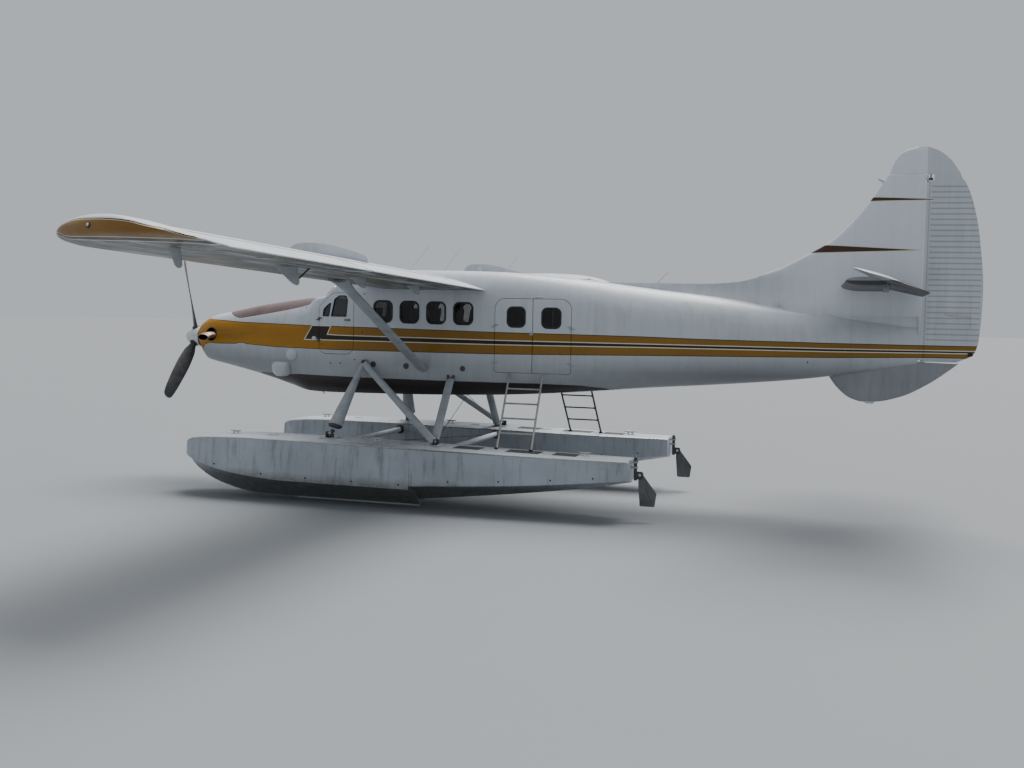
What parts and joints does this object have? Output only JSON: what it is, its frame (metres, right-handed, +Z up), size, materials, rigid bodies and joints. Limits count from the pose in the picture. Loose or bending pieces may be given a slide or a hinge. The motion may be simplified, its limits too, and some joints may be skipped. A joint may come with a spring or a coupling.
{
  "type": "single-turboprop high-wing floatplane",
  "caption": "High-wing utility floatplane with a turboprop nose, strut-braced wing, twin floats, opening doors and moving control surfaces.",
  "frame": {"origin": "on the floor under the middle of the aircraft's box, between the float keels", "axes": "+X aft along the propeller's axis, +Y to starboard along the span, +Z up from the keels"},
  "size_m": [12.79, 17.69, 5.338],
  "materials": {
    "white_skin": "white gloss paint on aluminium skin, with a golden yellow band and dark brown stripes",
    "grey_skin": "light grey paint on aluminium",
    "float_alloy": "dull silver-grey aluminium",
    "engine_steel": "heat-tinted steel",
    "blade_paint": "matt dark grey blades",
    "clear_glass": "clear acrylic panes",
    "cabin_lining": "matt grey lining and floor mat",
    "seat_cloth": "dark blue-grey woven seat cloth"
  },
  "bodies": {
    "airframe": {"engine_cowl": "white_skin", "engine_block": "engine_steel", "exhaust_port": "engine_steel", "exhaust_starboard": "engine_steel", "cabin_shell": "white_skin", "cabin_floor": "cabin_lining", "instrument_panel": "cabin_lining", "crew_seat_port": "seat_cloth", "crew_seat_starboard": "seat_cloth", "cabin_seats_port": "seat_cloth", "cabin_seats_starboard": "seat_cloth", "tail_cone": "white_skin", "fin": "white_skin", "ventral_fin": "grey_skin", "stabilizer": "grey_skin", "wing_port": "white_skin", "wing_starboard": "white_skin", "wing_strut_port": "grey_skin", "wing_strut_starboard": "grey_skin", "windscreen": "clear_glass", "window_glass_port": "clear_glass", "window_glass_starboard": "clear_glass", "float_port": "float_alloy", "float_starboard": "float_alloy", "forward_float_struts_port": "grey_skin", "forward_float_struts_starboard": "grey_skin", "rear_float_strut_port": "grey_skin", "rear_float_strut_starboard": "grey_skin", "spreader_front": "white_skin", "spreader_rear": "white_skin", "ladder_port": "float_alloy", "ladder_starboard": "float_alloy"},
    "propeller": {"propeller": "blade_paint", "spinner": "white_skin"},
    "rudder": {"rudder": "white_skin"},
    "elevator": {"elevator": "grey_skin"},
    "flap_port": {"flap_port": "white_skin"},
    "flap_starboard": {"flap_starboard": "white_skin"},
    "aileron_port": {"aileron_port": "white_skin"},
    "aileron_starboard": {"aileron_starboard": "white_skin"},
    "cockpit_door_port": {"cockpit_door_port": "white_skin", "cockpit_door_glass_port": "clear_glass"},
    "cockpit_door_starboard": {"cockpit_door_starboard": "white_skin", "cockpit_door_glass_starboard": "clear_glass"},
    "cargo_door_front": {"cargo_door_front": "white_skin", "cargo_glass_front": "clear_glass"},
    "cargo_door_rear": {"cargo_door_rear": "white_skin", "cargo_glass_rear": "clear_glass"},
    "cabin_door_starboard": {"cabin_door_starboard": "white_skin", "cabin_door_glass": "clear_glass"},
    "water_rudder_port": {"water_rudder_post_port": "float_alloy"},
    "water_rudder_starboard": {"water_rudder_post_starboard": "float_alloy"},
    "water_rudder_blade_port": {"water_rudder_blade_port": "float_alloy"},
    "water_rudder_blade_starboard": {"water_rudder_blade_starboard": "float_alloy"}
  },
  "joints": [
    {"name": "propeller_turn", "type": "hinge", "parent": "airframe", "child": "propeller", "pos_m": [-6.19, 0, 2.38], "axis": [1, 0, 0], "continuous": true},
    {"name": "rudder_turn", "type": "hinge", "parent": "airframe", "child": "rudder", "pos_m": [5.645, 0, 3.6], "axis": [0, 0, 1], "range_deg": [-25, 25]},
    {"name": "elevator_turn", "type": "hinge", "parent": "airframe", "child": "elevator", "pos_m": [5.165, 0, 3.365], "axis": [0, 1, 0], "range_deg": [-45, 0]},
    {"name": "flap_port_turn", "type": "hinge", "parent": "airframe", "child": "flap_port", "pos_m": [-1.19875, -0.9, 3.3007], "axis": [0, 0.9994, -0.0351], "range_deg": [0, 50]},
    {"name": "flap_starboard_turn", "type": "hinge", "parent": "airframe", "child": "flap_starboard", "pos_m": [-1.19875, 0.9, 3.3007], "axis": [0, 0.9994, 0.0351], "range_deg": [0, 50]},
    {"name": "aileron_port_turn", "type": "hinge", "parent": "airframe", "child": "aileron_port", "pos_m": [-1.19875, -4.92, 3.4418], "axis": [0, 0.9994, -0.0351], "range_deg": [-20, 20]},
    {"name": "aileron_starboard_turn", "type": "hinge", "parent": "airframe", "child": "aileron_starboard", "pos_m": [-1.19875, 4.92, 3.4418], "axis": [0, 0.9994, 0.0351], "range_deg": [-20, 20]},
    {"name": "cockpit_door_port_open", "type": "hinge", "parent": "airframe", "child": "cockpit_door_port", "pos_m": [-3.4935, -0.7676, 2.6], "axis": [0, 0, -1], "range_deg": [0, 80]},
    {"name": "cockpit_door_starboard_open", "type": "hinge", "parent": "airframe", "child": "cockpit_door_starboard", "pos_m": [-3.4935, 0.7676, 2.6], "axis": [0, 0, 1], "range_deg": [0, 80]},
    {"name": "cargo_door_front_open", "type": "hinge", "parent": "airframe", "child": "cargo_door_front", "pos_m": [-0.5315, -0.8144, 2.5], "axis": [0, 0, -1], "range_deg": [0, 95]},
    {"name": "cargo_door_rear_open", "type": "hinge", "parent": "airframe", "child": "cargo_door_rear", "pos_m": [0.6565, -0.7773, 2.5], "axis": [0, 0, 1], "range_deg": [0, 160]},
    {"name": "cabin_door_starboard_open", "type": "hinge", "parent": "airframe", "child": "cabin_door_starboard", "pos_m": [-0.0485, 0.8068, 2.5], "axis": [0, 0, 1], "range_deg": [0, 100]},
    {"name": "water_rudder_port_steer", "type": "hinge", "parent": "airframe", "child": "water_rudder_port", "pos_m": [1.84, -1.58, 0.88], "axis": [0, 0, 1], "range_deg": [-30, 30]},
    {"name": "water_rudder_starboard_steer", "type": "hinge", "parent": "airframe", "child": "water_rudder_starboard", "pos_m": [1.84, 1.58, 0.88], "axis": [0, 0, 1], "range_deg": [-30, 30]},
    {"name": "water_rudder_port_lift", "type": "hinge", "parent": "water_rudder_port", "child": "water_rudder_blade_port", "pos_m": [1.905, -1.58, 0.66], "axis": [0, -1, 0], "range_deg": [0, 95]},
    {"name": "water_rudder_starboard_lift", "type": "hinge", "parent": "water_rudder_starboard", "child": "water_rudder_blade_starboard", "pos_m": [1.905, 1.58, 0.66], "axis": [0, -1, 0], "range_deg": [0, 95]}
  ],
  "couplings": [
    {"joint": "flap_starboard_turn", "follows": "flap_port_turn", "ratio": 1},
    {"joint": "aileron_starboard_turn", "follows": "aileron_port_turn", "ratio": -1},
    {"joint": "water_rudder_starboard_steer", "follows": "water_rudder_port_steer", "ratio": 1},
    {"joint": "water_rudder_starboard_lift", "follows": "water_rudder_port_lift", "ratio": 1}
  ]
}
